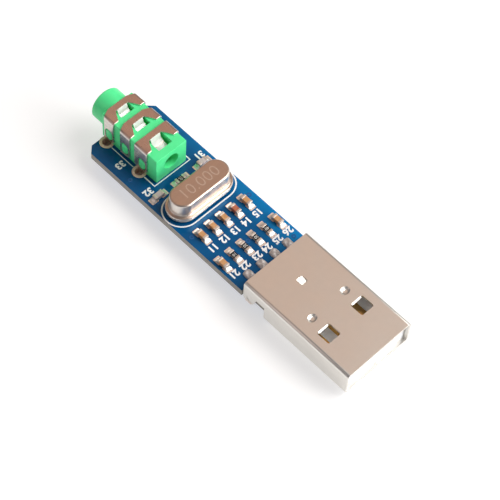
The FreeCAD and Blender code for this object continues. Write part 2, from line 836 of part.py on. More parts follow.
pin_line = "(jack_width / 2 + clip_sheet / 2 + pin_hole_offset)"
clips = [
    ("jack_clip_front", "clip_front_at", -1, "spring_reach", "spring_fall", "-+"),
    ("jack_clip_middle", "clip_middle_at", 1, "spring_reach", "spring_fall", "-+"),
    ("jack_clip_rear", "clip_rear_at", -1, "rear_spring_reach", "rear_spring_fall", ""),
]
slot_lengths = ["slot_length", "slot_length", "rear_slot_length"]
pin_places = [("-" + clip[1], ("-" if clip[2] < 0 else "") + pin_line) for clip in clips]
lead_places = [("-crystal_at", "-lead_spacing / 2"), ("-crystal_at", "lead_spacing / 2")]
make_board(pin_places, lead_places)
make_jack_body([(clip[1], length) for clip, length in zip(clips, slot_lengths)])
clip_bodies = [make_clip(*clip) for clip in clips]
make_crystal()
make_crystal_leads(lead_places)
make_chips()
make_tail_solder(tails)
make_pin_solder(pin_places, clip_bodies, lead_places)
make_decoder()
make_decoder_leads()

doc.recompute()
for thing in doc.Objects:
    if "Invalid" in thing.State or "Error" in thing.State:
        raise RuntimeError("%s failed: %s" % (thing.Label, thing.State))
for piece in pieces:
    if piece.Shape.isNull() or not piece.Shape.isValid():
        raise RuntimeError(piece.Label + " has no valid shape")

os.makedirs("parts", exist_ok=True)
for piece in pieces:
    piece.Shape.exportStep("parts/%s.step" % piece.Label)
print("%d pieces written" % len(pieces))
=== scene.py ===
import bmesh
import bpy
import math
from mathutils import Matrix, Vector


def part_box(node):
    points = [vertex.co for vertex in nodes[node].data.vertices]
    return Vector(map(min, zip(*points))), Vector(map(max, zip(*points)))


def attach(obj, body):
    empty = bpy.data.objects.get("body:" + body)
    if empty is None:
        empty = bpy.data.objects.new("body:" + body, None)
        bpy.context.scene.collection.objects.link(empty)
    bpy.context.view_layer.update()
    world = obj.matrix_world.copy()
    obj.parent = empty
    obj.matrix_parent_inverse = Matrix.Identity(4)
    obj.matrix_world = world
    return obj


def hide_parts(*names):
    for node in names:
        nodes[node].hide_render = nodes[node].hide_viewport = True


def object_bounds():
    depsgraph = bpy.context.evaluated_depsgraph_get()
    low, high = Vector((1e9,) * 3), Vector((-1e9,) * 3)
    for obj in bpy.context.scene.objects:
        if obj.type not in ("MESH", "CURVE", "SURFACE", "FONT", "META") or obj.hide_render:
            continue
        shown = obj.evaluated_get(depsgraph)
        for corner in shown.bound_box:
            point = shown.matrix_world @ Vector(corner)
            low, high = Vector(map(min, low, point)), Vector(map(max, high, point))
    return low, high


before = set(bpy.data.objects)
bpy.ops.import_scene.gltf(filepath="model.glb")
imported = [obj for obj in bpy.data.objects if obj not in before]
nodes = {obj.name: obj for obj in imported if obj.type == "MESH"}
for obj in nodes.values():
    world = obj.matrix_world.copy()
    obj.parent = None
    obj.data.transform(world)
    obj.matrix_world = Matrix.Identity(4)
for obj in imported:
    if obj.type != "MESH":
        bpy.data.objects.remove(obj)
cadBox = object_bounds()
mm = 0.001  # sizes are millimetres from the centre of the plug's mouth; each mesh is scaled at its end
hair = 0.001  # places closer than this count as one
squareOn = 0.9999  # a face whose normal follows an axis this well is a flat plate


# Shared mesh helpers

def nodeBox(name):
    low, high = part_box(name)
    return low / mm, high / mm


def vertsIn(geom):
    return [item for item in geom if isinstance(item, bmesh.types.BMVert)]


def edgesIn(geom):
    return [item for item in geom if isinstance(item, bmesh.types.BMEdge)]


def edgesAround(verts):
    return list(dict.fromkeys(edge for vert in verts for edge in vert.link_edges))


def newPiece(name, bm, material):
    bmesh.ops.scale(bm, vec=(mm, mm, mm), verts=bm.verts)
    mesh = bpy.data.meshes.new(name)
    bm.to_mesh(mesh)
    bm.free()
    mesh.materials.append(material)
    piece = bpy.data.objects.new(name, mesh)
    bpy.context.scene.collection.objects.link(piece)
    return piece


def finishPiece(name, bm, material, replaced=(), soften=0.0, segments=2, sheet=0.0, sharp=40.0,
                planes=False, weld=0.0005):
    bmesh.ops.remove_doubles(bm, verts=bm.verts, dist=weld)
    bmesh.ops.recalc_face_normals(bm, faces=bm.faces)
    for face in bm.faces:
        # Large plates with holes stay exactly flat when planes is set
        face.smooth = not planes or max(abs(part) for part in face.normal) < squareOn
    piece = newPiece(name, bm, material)
    if sheet:
        wall = piece.modifiers.new("sheet", "SOLIDIFY")
        wall.thickness = sheet * mm
        wall.offset = -1
        wall.use_even_offset = True
    if soften:
        edge = piece.modifiers.new("soften", "BEVEL")
        edge.width = soften * mm
        edge.segments = segments
        edge.limit_method = "ANGLE"
        edge.angle_limit = math.radians(sharp)
        edge.use_clamp_overlap = True
        edge.face_strength_mode = "FSTR_ALL"
    else:
        piece.data.set_sharp_from_angle(angle=math.radians(sharp))
    if not planes:
        flat = piece.modifiers.new("flat", "WEIGHTED_NORMAL")
        flat.keep_sharp = True
        flat.use_face_influence = bool(soften)
    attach(piece, "root")
    if replaced:
        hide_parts(*replaced)
    return piece


def copyOfNode(name, flatAngle=0.5):
    bm = bmesh.new()
    bm.from_mesh(nodes[name].data)
    bmesh.ops.scale(bm, vec=(1 / mm, 1 / mm, 1 / mm), verts=bm.verts)
    bmesh.ops.remove_doubles(bm, verts=bm.verts, dist=hair)
    bmesh.ops.dissolve_limit(bm, angle_limit=math.radians(flatAngle), verts=bm.verts, edges=bm.edges)
    return bm


def roundEdges(bm, edges, radius, segments, clamp=True):
    bmesh.ops.bevel(bm, geom=edges, offset=radius, offset_type="OFFSET", affect="EDGES",
                    segments=segments, profile=0.5, material=-1, clamp_overlap=clamp)


def roundCorners(bm, loop, corners, radius, segments=4):
    others = set(bm.edges) - set(loop)
    bmesh.ops.bevel(bm, geom=corners, offset=radius, offset_type="OFFSET", affect="VERTICES",
                    segments=segments, profile=0.5, material=-1)
    return [edge for edge in bm.edges if edge not in others]


def raiseFaces(bm, faces, height):
    made = bmesh.ops.extrude_face_region(bm, geom=faces)["geom"]
    bmesh.ops.translate(bm, vec=(0, 0, height), verts=vertsIn(made))


def drawOut(bm, edges):
    # New points and the new outer edges, which still lie where the old ones are
    made = bmesh.ops.extrude_edge_only(bm, edges=edges)["geom"]
    fresh = set(vertsIn(made))
    return fresh, [edge for edge in edgesIn(made) if fresh.issuperset(edge.verts)]


def addBox(bm, low, high, soften, segments):
    place = Matrix.Translation((high + low) / 2) @ Matrix.Diagonal((*(high - low), 1))
    made = bmesh.ops.create_cube(bm, size=1, matrix=place)
    roundEdges(bm, edgesAround(made["verts"]), soften, segments)


def addLoop(bm, points):
    verts = [bm.verts.new(point) for point in points]
    return [bm.edges.new(pair) for pair in zip(verts, verts[1:] + verts[:1])]


def addRoundLoop(bm, points, radius, segments=4):
    loop = addLoop(bm, points)
    corners = list(dict.fromkeys(vert for edge in loop for vert in edge.verts))
    return roundCorners(bm, loop, corners, radius, segments)


def addPlate(bm, low, high, radius):
    # A thin flat plate with round corners, such as a pad of copper
    corners = [(low[0], low[1]), (high[0], low[1]), (high[0], high[1]), (low[0], high[1])]
    loop = addRoundLoop(bm, [(x, y, low[2]) for x, y in corners], radius, segments=3)
    raiseFaces(bm, bmesh.ops.edgeloop_fill(bm, edges=loop)["faces"], high[2] - low[2])


def addRing(bm, radius, straight, level, count, middle):
    # A stadium loop: a circle whose two halves are pulled apart along y
    turn = Matrix.Rotation(math.pi / count, 4, "Z")
    made = bmesh.ops.create_circle(bm, cap_ends=False, radius=radius, segments=count, matrix=turn)
    for vert in made["verts"]:
        vert.co.y += math.copysign(straight / 2, vert.co.y)
        vert.co += Vector((*middle, level))
    return edgesAround(made["verts"])


def addStack(bm, profile, straight, middle, count, caps=True):
    # Each ring is drawn out of the one before it, to the next radius and level
    radius, level = profile[0]
    ring = addRing(bm, radius, straight, level, count, middle)
    if caps:
        bmesh.ops.edgeloop_fill(bm, edges=ring)
    for radius, level in profile[1:]:
        fresh, ring = drawOut(bm, ring)
        for vert in fresh:
            side = math.copysign(straight / 2, vert.co.y - middle[1])
            hub = Vector((middle[0], middle[1] + side, 0))
            spoke = (vert.co - hub) * Vector((1, 1, 0))
            vert.co = hub + spoke.normalized() * radius + Vector((0, 0, level))
    if caps:
        bmesh.ops.edgeloop_fill(bm, edges=ring)


def addTube(bm, inner, outer, low, high, middle, count):
    profile = [(inner, low), (outer, low), (outer, high), (inner, high), (inner, low)]
    addStack(bm, profile, 0, middle, count, caps=False)


def arc(centre, radius, start, end, steps):
    turns = [math.radians(start + (end - start) * step / steps) for step in range(steps + 1)]
    return [(centre[0] + radius * math.cos(turn), centre[1] + radius * math.sin(turn)) for turn in turns]


def addCurve(bm, curve, place):
    # The curve or text is made a mesh first, then put in its place
    holder = bpy.data.objects.new("drawn", curve)
    bpy.context.scene.collection.objects.link(holder)
    mesh = bpy.data.meshes.new_from_object(holder.evaluated_get(bpy.context.evaluated_depsgraph_get()))
    mesh.transform(place)
    bm.from_mesh(mesh)
    bpy.data.objects.remove(holder)
    bpy.data.curves.remove(curve)
    bpy.data.meshes.remove(mesh)


def addLine(bm, points, width, level, height, closed=False, place=Matrix()):
    # A round bar along the points, pressed flat to its height
    curve = bpy.data.curves.new("line", "CURVE")
    curve.dimensions = "3D"
    curve.bevel_depth = width / 2
    curve.bevel_resolution = 1
    curve.use_fill_caps = True
    spline = curve.splines.new("POLY")
    spline.points.add(len(points) - 1)
    for knot, (x, y) in zip(spline.points, points):
        knot.co = (x, y, 0, 1)
    spline.use_cyclic_u = closed
    pressed = Matrix.Translation((0, 0, level)) @ Matrix.Diagonal((1, 1, height / width, 1))
    addCurve(bm, curve, place @ pressed)


def addNumber(bm, digits, tall, spot, turn, thick, bold=0.0):
    # Plain digits, centred on the spot
    digitShare = 0.7  # how tall the font's digits are, as a share of its size
    curve = bpy.data.curves.new("number", "FONT")
    curve.body = digits
    curve.size = tall / digitShare
    curve.align_x, curve.align_y = "CENTER", "CENTER"
    curve.offset = bold
    curve.extrude = thick / 2
    curve.resolution_u = 3
    addCurve(bm, curve, Matrix.Translation(spot) @ Matrix.Rotation(math.radians(turn), 4, "Z"))


# Shared material helpers

noiseRange = (0.3, 0.7)  # most of a noise pattern lies between these
upRange = (0.6, 0.8)  # from a steep slope to a face that counts as flat


def newMaterial(name, **sockets):
    material = bpy.data.materials.new(name)
    material.use_nodes = True
    shader = material.node_tree.nodes["Principled BSDF"]
    for socket, value in sockets.items():
        shader.inputs[socket.replace("_", " ")].default_value = value
    return material


def addNode(material, kind, links=None, inputs=None, **settings):
    node = material.node_tree.nodes.new(kind)
    for name, value in settings.items():
        setattr(node, name, value)
    for name, value in (inputs or {}).items():
        node.inputs[name].default_value = value
    for name, source in (links or {}).items():
        material.node_tree.links.new(source, node.inputs[name])
    return node


def feed(material, socket, source):
    shader = material.node_tree.nodes["Principled BSDF"]
    material.node_tree.links.new(source, shader.inputs[socket])


def objectPlace(material):
    return addNode(material, "ShaderNodeTexCoord").outputs["Object"]


def noise(material, scale, stretch=(1, 1, 1)):
    # Scale is grains per millimetre
    perAxis = tuple(scale / mm * part for part in stretch)
    mapped = addNode(material, "ShaderNodeMapping", {"Vector": objectPlace(material)}, {"Scale": perAxis})
    grain = addNode(material, "ShaderNodeTexNoise", {"Vector": mapped.outputs[0]},
                    {"Scale": 1.0, "Detail": 4.0, "Roughness": 0.55})
    return grain.outputs["Fac"]


def ramp(material, source, first, second, between=noiseRange):
    node = addNode(material, "ShaderNodeValToRGB", {"Fac": source})
    for element, place, colour in zip(node.color_ramp.elements, between, (first, second)):
        element.position = place
        element.color = (*colour, 1)
    return node.outputs["Color"]


def spread(material, source, low, high, between=noiseRange):
    node = addNode(material, "ShaderNodeMapRange", {"Value": source},
                   {"From Min": between[0], "From Max": between[1], "To Min": low, "To Max": high})
    return node.outputs["Result"]


def bump(material, source, strength, depth=0.01):
    node = addNode(material, "ShaderNodeBump", {"Height": source},
                   {"Strength": strength, "Distance": depth * mm})
    feed(material, "Normal", node.outputs["Normal"])


def blendColours(material, factor, first, second):
    # Inputs 6 and 7 of a mix node are its colours, and output 2 is the blend
    node = addNode(material, "ShaderNodeMix", {0: factor, 6: first, 7: second}, data_type="RGBA")
    return node.outputs[2]


def dotWith(material, source, direction):
    node = addNode(material, "ShaderNodeVectorMath", {0: source}, {1: direction}, operation="DOT_PRODUCT")
    return node.outputs["Value"]


def heightOf(material, source):
    return addNode(material, "ShaderNodeSeparateXYZ", {"Vector": source}).outputs["Z"]


def facingUp(material):
    # 1 on faces that look up or down, 0 on the sides
    normal = addNode(material, "ShaderNodeNewGeometry").outputs["Normal"]
    level = addNode(material, "ShaderNodeMath", {0: heightOf(material, normal)}, operation="ABSOLUTE")
    return spread(material, level.outputs[0], 0, 1, upRange)


# Materials

def metal(name, dull, bright, roughness, grain, stretch=(1, 1, 1), grit=0.15, vary=0.2, paintedSideColours=None,
          gritScale=9):
    material = newMaterial(name, Metallic=1.0)
    cloud = noise(material, grain, stretch)
    colour = ramp(material, cloud, dull, bright)
    if paintedSideColours:
        # Painted reflection: the flat faces keep the darker warm brown that stands in for the room they
        # mirror, and the bent and drawn sides get a paler colour
        paintedSides = ramp(material, cloud, *paintedSideColours)
        colour = blendColours(material, facingUp(material), paintedSides, colour)
    feed(material, "Base Color", colour)
    feed(material, "Roughness", spread(material, cloud, roughness * (1 + vary), roughness * (1 - vary)))
    bump(material, noise(material, grain * gritScale, stretch), grit)
    return material


def mottled(name, dark, light, roughness, grain, grit=0.2, gritScale=12, smoother=0.9, rougher=1.15,
            **sockets):
    # Mouldings, ceramic, ink and dull solder, all a little uneven
    material = newMaterial(name, **sockets)
    cloud = noise(material, grain)
    feed(material, "Base Color", ramp(material, cloud, dark, light))
    feed(material, "Roughness", spread(material, cloud, roughness * smoother, roughness * rougher))
    bump(material, noise(material, grain * gritScale), grit)
    return material


def makeBoardMaterial():
    # Blue mask over the faces, with a painted reflection: a paler blue toward one edge; cut glass fibre on
    # the sides
    mask = {"deep": [(0.001, 0.066, 0.195), (0.001, 0.087, 0.245)],
            "paintedSheen": [(0.001, 0.16, 0.41), (0.001, 0.20, 0.49)], "cloud": 0.35,
            "paintedSheenToward": (0.15, 1, 0), "paintedSheenReach": 2,
            "fibre": [(0.27, 0.245, 0.205), (0.43, 0.40, 0.345)],
            "weave": 1.2, "weaveStretch": (0.25, 0.25, 4), "faceRough": 0.12, "sideRough": 0.75,
            "ripple": 2.5, "rippleStrength": 0.06, "rippleDepth": 0.02}
    material = newMaterial("blueMask", IOR=1.5, Specular_Tint=(0.25, 0.6, 1.0, 1.0))
    cloud = noise(material, mask["cloud"])
    deep, paintedSheen = ramp(material, cloud, *mask["deep"]), ramp(material, cloud, *mask["paintedSheen"])
    # Painted reflection: the mask's blue turns paler toward one edge
    reach = mask["paintedSheenReach"] * mm
    across = dotWith(material, objectPlace(material), mask["paintedSheenToward"])
    blue = blendColours(material, spread(material, across, 0, 1, (-reach, reach)), deep, paintedSheen)
    fibre = ramp(material, noise(material, mask["weave"], mask["weaveStretch"]), *mask["fibre"])
    top = facingUp(material)
    feed(material, "Base Color", blendColours(material, top, fibre, blue))
    feed(material, "Roughness", spread(material, top, mask["sideRough"], mask["faceRough"], (0, 1)))
    bump(material, noise(material, mask["ripple"]), mask["rippleStrength"], mask["rippleDepth"])
    return material


def makeResistorMaterial():
    # A black glaze over a pale ceramic chip
    glaze = {"black": [(0.012, 0.011, 0.010), (0.03, 0.027, 0.024)], "blackCloud": 3,
             "ceramic": [(0.50, 0.46, 0.40), (0.62, 0.58, 0.51)], "ceramicCloud": 4,
             "depth": 0.08, "fade": 0.02, "rough": (0.45, 0.6)}
    material = newMaterial("blackGlaze", Specular_IOR_Level=0.2)
    level = nodeBox("resistor_1")[1].z - glaze["depth"]
    height = heightOf(material, objectPlace(material))
    glazed = spread(material, height, 0, 1, ((level - glaze["fade"]) * mm, level * mm))
    cloud = noise(material, glaze["blackCloud"])
    black = ramp(material, cloud, *glaze["black"])
    ceramic = ramp(material, noise(material, glaze["ceramicCloud"]), *glaze["ceramic"])
    feed(material, "Base Color", blendColours(material, glazed, ceramic, black))
    feed(material, "Roughness", spread(material, cloud, *glaze["rough"]))
    return material


materials = {
    "shell": metal("satinNickel", (0.765, 0.74, 0.69), (0.797, 0.77, 0.72), 0.32, 0.5,
                   grit=0.05, vary=0.06),
    "tongue": mottled("whiteNylon", (0.89, 0.895, 0.91), (0.94, 0.945, 0.955), 0.42, 0.6),
    "contact": metal("goldPlate", (0.72, 0.44, 0.14), (0.85, 0.56, 0.22), 0.24, 1.5, (0.2, 2, 2)),
    "board": makeBoardMaterial(),
    "pad": mottled("tinnedPad", (0.88, 0.62, 0.48), (0.96, 0.72, 0.58), 0.45, 2.0, Metallic=0.2),
    "tail": mottled("roughSolder", (0.44, 0.40, 0.38), (0.72, 0.68, 0.66), 0.56, 3.5, Metallic=0.6),
    "solder": mottled("dullSolder", (0.68, 0.65, 0.61), (0.82, 0.79, 0.75), 0.30, 2.5, Metallic=0.75),
    "jack": mottled("greenMoulding", (0.078, 0.82, 0.29), (0.098, 0.90, 0.34), 0.36, 0.4),
    # Painted reflection: the clip's flat faces are a darker warm brown than its sides
    "clip": metal("springSteel", (0.485, 0.364, 0.318), (0.54, 0.418, 0.366), 0.28, 0.7, (1, 2, 2),
                  grit=0.04, vary=0.08, paintedSideColours=[(0.70, 0.64, 0.59), (0.78, 0.72, 0.67)]),
    # Painted highlight: a near-white, nearly plain finish on the clip tongues' sloping faces, in place of
    # their glints
    "spring": mottled("paintedGlintSpring", (0.84, 0.83, 0.81), (0.92, 0.91, 0.89), 0.34, 2.0, Metallic=0.15),
    # Painted reflection: the can's flat faces are a darker warm brown than its sides
    "can": metal("drawnCan", (0.52, 0.394, 0.32), (0.562, 0.432, 0.353), 0.34, 0.9, (2, 0.4, 1),
                 grit=0.05, vary=0.1, paintedSideColours=[(0.70, 0.65, 0.60), (0.77, 0.72, 0.67)]),
    "engraved": metal("engravedCan", (0.67, 0.55, 0.465), (0.725, 0.605, 0.52), 0.44, 2.0),
    "base": metal("sealedBase", (0.55, 0.50, 0.46), (0.68, 0.63, 0.58), 0.30, 1.5),
    "lead": metal("tinnedWire", (0.70, 0.69, 0.66), (0.82, 0.81, 0.78), 0.28, 2.0),
    "tan": mottled("tanCeramic", (0.50, 0.25, 0.10), (0.62, 0.34, 0.16), 0.36, 2.5),
    "red": mottled("redCeramic", (0.36, 0.105, 0.055), (0.45, 0.14, 0.07), 0.36, 2.5),
    "rose": mottled("roseCeramic", (0.50, 0.42, 0.42), (0.60, 0.52, 0.51), 0.36, 2.5),
    "glaze": makeResistorMaterial(),
    "cap": mottled("tinnedCap", (0.58, 0.50, 0.44), (0.70, 0.62, 0.55), 0.36, 3.0, Metallic=0.65),
    "epoxy": mottled("blackEpoxy", (0.012, 0.012, 0.013), (0.022, 0.022, 0.023), 0.55, 1.5, grit=0.4),
    "legend": mottled("whiteInk", (0.90, 0.90, 0.89), (0.95, 0.95, 0.94), 0.6, 3.0),
    "mark": mottled("paleMark", (0.70, 0.68, 0.64), (0.80, 0.78, 0.74), 0.5, 3.0),
    "track": mottled("coveredCopper", (0.003, 0.085, 0.27), (0.004, 0.11, 0.33), 0.2, 0.8, grit=0.1),
}
print("materials", len(materials))


# Plug

shell = {
    "sheet": 0.3, "fold": 0.5, "foldSteps": 6, "soften": 0.04, "sharp": 35, "seam": 0.05,
    "wallEnd": 15.4, "wallChamfer": 0.5,
    "earLength": 2.4, "earFoot": 1.85, "earDrop": 3.6, "notchDrop": 1.7, "earRound": 0.55,
    "ribs": [[(-18.7, -0.5), (-18.3, -0.98)], [(-18.8, -1.22), (-17.75, -1.22)]],
    "ribWidth": 0.26, "ribHeight": 0.24,
    "windowFront": 5.2, "windowLength": 2.2, "windowWidth": 2.3, "windowPitch": 6.3, "windowCorner": 0.25,
    "lip": 0.2,
    "dimpleAt": 9.4, "dimplePitch": 6.2, "dimpleLength": 1.2, "dimpleWidth": 1.5, "dimpleCount": 32,
    "dimpleSteps": [(0.06, 0.03), (0.1, 0.08), (0.12, 0.06), (0.12, 0.03)],  # inset and drop of each ring
    "lanceAt": 14.45, "lanceSide": 1.1, "lanceDepth": 0.22, "lanceEdge": 0.03, "lanceCorner": 0.12,
}
shellLow, shellHigh = nodeBox("usb_shell")
shellFlat = shellHigh.y - shell["fold"]  # from the middle to where a fold begins


def addWindow(bm, level, side):
    front, back = -shell["windowFront"], -shell["windowFront"] - shell["windowLength"]
    middle, half = side * shell["windowPitch"] / 2, shell["windowWidth"] / 2
    return addRoundLoop(bm, [(front, middle - half, level), (front, middle + half, level),
                             (back, middle + half, level), (back, middle - half, level)],
                        shell["windowCorner"])


def addDimple(bm, side):
    place = Matrix.Translation((-shell["dimpleAt"], side * shell["dimplePitch"] / 2, shellHigh.z))
    oval = Matrix.Diagonal((shell["dimpleLength"] / 2, shell["dimpleWidth"] / 2, 1, 1))
    others = set(bm.edges)
    made = bmesh.ops.create_circle(bm, cap_ends=True, radius=1, segments=shell["dimpleCount"],
                                   matrix=place @ oval)
    floor = made["verts"][0].link_faces[0]
    for thickness, depth in shell["dimpleSteps"]:
        bmesh.ops.inset_region(bm, faces=[floor], thickness=thickness, depth=-depth, use_boundary=True,
                               use_even_offset=True)
    return [edge for edge in bm.edges if edge not in others and edge.is_boundary]


def addLance(bm):
    # A square that is pressed down most at its front edge
    half = shell["lanceSide"] / 2
    corners = ((half, -half), (half, half), (-half, half), (-half, -half))
    loop = addRoundLoop(bm, [(x - shell["lanceAt"], y, shellHigh.z) for x, y in corners],
                        shell["lanceCorner"], segments=2)
    floor = bmesh.ops.edgeloop_fill(bm, edges=loop)["faces"]
    made = bmesh.ops.extrude_face_region(bm, geom=floor)["geom"]
    bmesh.ops.delete(bm, geom=floor, context="FACES_ONLY")
    for face in [item for item in made if isinstance(item, bmesh.types.BMFace)]:
        for edge in face.edges:
            edge.smooth = False
    for vert in vertsIn(made):
        share = (vert.co.x + shell["lanceAt"] + half) / shell["lanceSide"]
        vert.co.z -= shell["lanceEdge"] + (shell["lanceDepth"] - shell["lanceEdge"]) * share
    return loop


def pressLip(bm, loop):
    # The rear edge of a window is pressed down into it
    back = min(vert.co.x for edge in loop for vert in edge.verts)
    edges = [edge for edge in loop if all(vert.co.x < back + hair for vert in edge.verts)]
    for vert in drawOut(bm, edges)[0]:
        vert.co += Vector((shell["lip"], 0, -shell["lip"]))


def addFold(bm, edge, side, level, turn):
    made = bmesh.ops.spin(bm, geom=[edge, *edge.verts], cent=(0, side * shellFlat, level), axis=(1, 0, 0),
                          angle=turn, steps=shell["foldSteps"], dvec=(0, 0, 0))
    return edgesIn(made["geom_last"])[0]


def addTopPlate(bm):
    # The plate with its holes, then the folds along its two sides
    rear, level = shellLow.x, shellHigh.z
    outline = addLoop(bm, [(0, -shellFlat, level), (0, shellFlat, level),
                           (rear, shellFlat, level), (rear, -shellFlat, level)])
    pressed = addDimple(bm, -1) + addDimple(bm, 1) + addLance(bm)
    for edge in pressed:
        edge.smooth = False
    windows = [addWindow(bm, level, side) for side in (-1, 1)]
    bmesh.ops.triangle_fill(bm, edges=outline + pressed + windows[0] + windows[1], use_beauty=True)
    for loop in windows:
        pressLip(bm, loop)
    return {side: addFold(bm, edge, side, level - shell["fold"], -side * math.pi / 2)
            for side, edge in ((1, outline[1]), (-1, outline[3]))}


def addBottomPlate(bm):
    # The plate ends short of the ears, and its two halves meet at a seam
    level = shellLow.z
    plateEnd = -shell["wallEnd"] + shell["wallChamfer"]
    wallFoot = {}
    for side in (1, -1):
        seam, edge = side * shell["seam"] / 2, side * shellFlat
        outline = addLoop(bm, [(0, seam, level), (0, edge, level), (plateEnd, edge, level),
                               (plateEnd, seam, level)])
        bmesh.ops.triangle_fill(bm, edges=outline + addWindow(bm, level, side), use_beauty=True)
        wallFoot[side] = addFold(bm, outline[1], side, level + shell["fold"], side * math.pi / 2)
    # The fold's rear end slants back to the end of the wall
    for vert in bm.verts:
        if vert.co.z < level + shell["fold"] + hair and vert.co.x < plateEnd + hair:
            vert.co.x -= vert.co.z - level
    return wallFoot


def addSideWall(bm, side, wallTop, wallFoot):
    # The wall, the notch behind it and the ear at the rear
    top = sorted(wallTop.verts, key=lambda vert: vert.co.x)
    foot = sorted(wallFoot.verts, key=lambda vert: vert.co.x)
    rear = shellLow.x
    notchLevel, earLevel = shellHigh.z - shell["notchDrop"], shellHigh.z - shell["earDrop"]
    ear = [(rear, earLevel), (rear + shell["earFoot"], earLevel), (rear + shell["earLength"], notchLevel),
           (-shell["wallEnd"], notchLevel)]
    corners = [bm.verts.new((x, side * shellHigh.y, z)) for x, z in ear]
    chain = [top[0], *corners, foot[0]]
    edges = [bm.edges.new(pair) for pair in zip(chain, chain[1:])]
    edges = roundCorners(bm, edges, corners[:2], shell["earRound"])
    front = bm.edges.new((top[1], foot[1]))
    bmesh.ops.triangle_fill(bm, edges=edges + [front, wallTop, wallFoot], use_beauty=True)


def makePlugShell():
    bm = bmesh.new()
    wallTop = addTopPlate(bm)
    wallFoot = addBottomPlate(bm)
    for side in (1, -1):
        addSideWall(bm, side, wallTop[side], wallFoot[side])
    finishPiece("plugShell", bm, materials["shell"], ["usb_shell"],
                soften=shell["soften"], sheet=shell["sheet"], sharp=shell["sharp"], planes=True)


def makeEarRibs():
    # Each ear has a short pressed rib and a low roll at its foot
    bm = bmesh.new()
    for side in (-1, 1):
        stand = Matrix.Translation((0, side * shellHigh.y, 0)) @ Matrix.Rotation(math.pi / 2, 4, "X")
        for rib in shell["ribs"]:
            addLine(bm, rib, shell["ribWidth"], 0, shell["ribHeight"], place=stand)
    finishPiece("earRibs", bm, materials["shell"])


def makeTongue():
    tongue = {"soften": 0.06, "contacts": 4, "contactSoften": 0.06}
    finishPiece("plugTongue", copyOfNode("usb_insulator"), materials["tongue"],
                ["usb_insulator"], soften=tongue["soften"])
    for number in range(1, tongue["contacts"] + 1):
        name = "usb_contact_%d" % number
        finishPiece("plugContact.%d" % number, copyOfNode(name), materials["contact"], [name],
                    soften=tongue["contactSoften"])


makePlugShell()
makeEarRibs()
makeTongue()
print("plug done")


# Board, its copper and its print

board = {"shoulder": -19.5, "noseHalf": 5.6, "corner": 1.0, "soften": 0.05, "holeCount": 24,
         "pins": [(-49.78, -3.225), (-43.0, -3.225), (-46.5, 3.225)], "pinHole": 0.85,
         "leads": [(-34.35, -2.44), (-34.35, 2.44)], "leadHole": 0.4,
         "tails": (-3.69, -1.23, 1.23, 3.69)}
boardLow, boardHigh = nodeBox("circuit_board")


def makeBoard():
    rear, front, half = boardLow.x, boardHigh.x, boardHigh.y
    nose, shoulder, cut = board["noseHalf"], board["shoulder"], board["corner"]
    corners = [(front, -nose), (front, nose), (shoulder, nose), (shoulder, half),
               (rear + cut, half), (rear, half - cut), (rear, cut - half), (rear + cut, -half),
               (shoulder, -half), (shoulder, -nose)]
    bm = bmesh.new()
    edges = addLoop(bm, [(x, y, boardLow.z) for x, y in corners])
    for spots, radius in ((board["pins"], board["pinHole"]), (board["leads"], board["leadHole"])):
        for spot in spots:
            edges += addRing(bm, radius, 0, boardLow.z, board["holeCount"], spot)
    bmesh.ops.triangle_fill(bm, edges=edges, use_beauty=True)
    raiseFaces(bm, bm.faces[:], boardHigh.z - boardLow.z)
    finishPiece("blueBoard", bm, materials["board"], ["circuit_board"], soften=board["soften"])


def makeCopper():
    copper = {"thick": 0.03, "lining": 0.18, "pinPad": 1.08, "leadPad": 0.75, "ringCount": 40,
              "tailPad": (1.2, 0.9), "tailAt": -20.75, "padRound": 0.12}
    under, over = boardLow.z - copper["thick"], boardHigh.z + copper["thick"]
    bm = bmesh.new()
    for spots, hole, pad in ((board["pins"], board["pinHole"], copper["pinPad"]),
                             (board["leads"], board["leadHole"], copper["leadPad"])):
        # A plated hole: a ring on each face and the lining between them
        bore = hole - copper["lining"]
        profile = [(bore, under), (pad, under), (pad, boardLow.z), (hole, boardLow.z), (hole, boardHigh.z),
                   (pad, boardHigh.z), (pad, over), (bore, over), (bore, under)]
        for spot in spots:
            addStack(bm, profile, 0, spot, copper["ringCount"], caps=False)
    long, wide = copper["tailPad"]
    for across in board["tails"]:
        addPlate(bm, (copper["tailAt"] - long / 2, across - wide / 2, boardHigh.z),
                 (copper["tailAt"] + long / 2, across + wide / 2, over), copper["padRound"])
    finishPiece("boardPads", bm, materials["pad"])


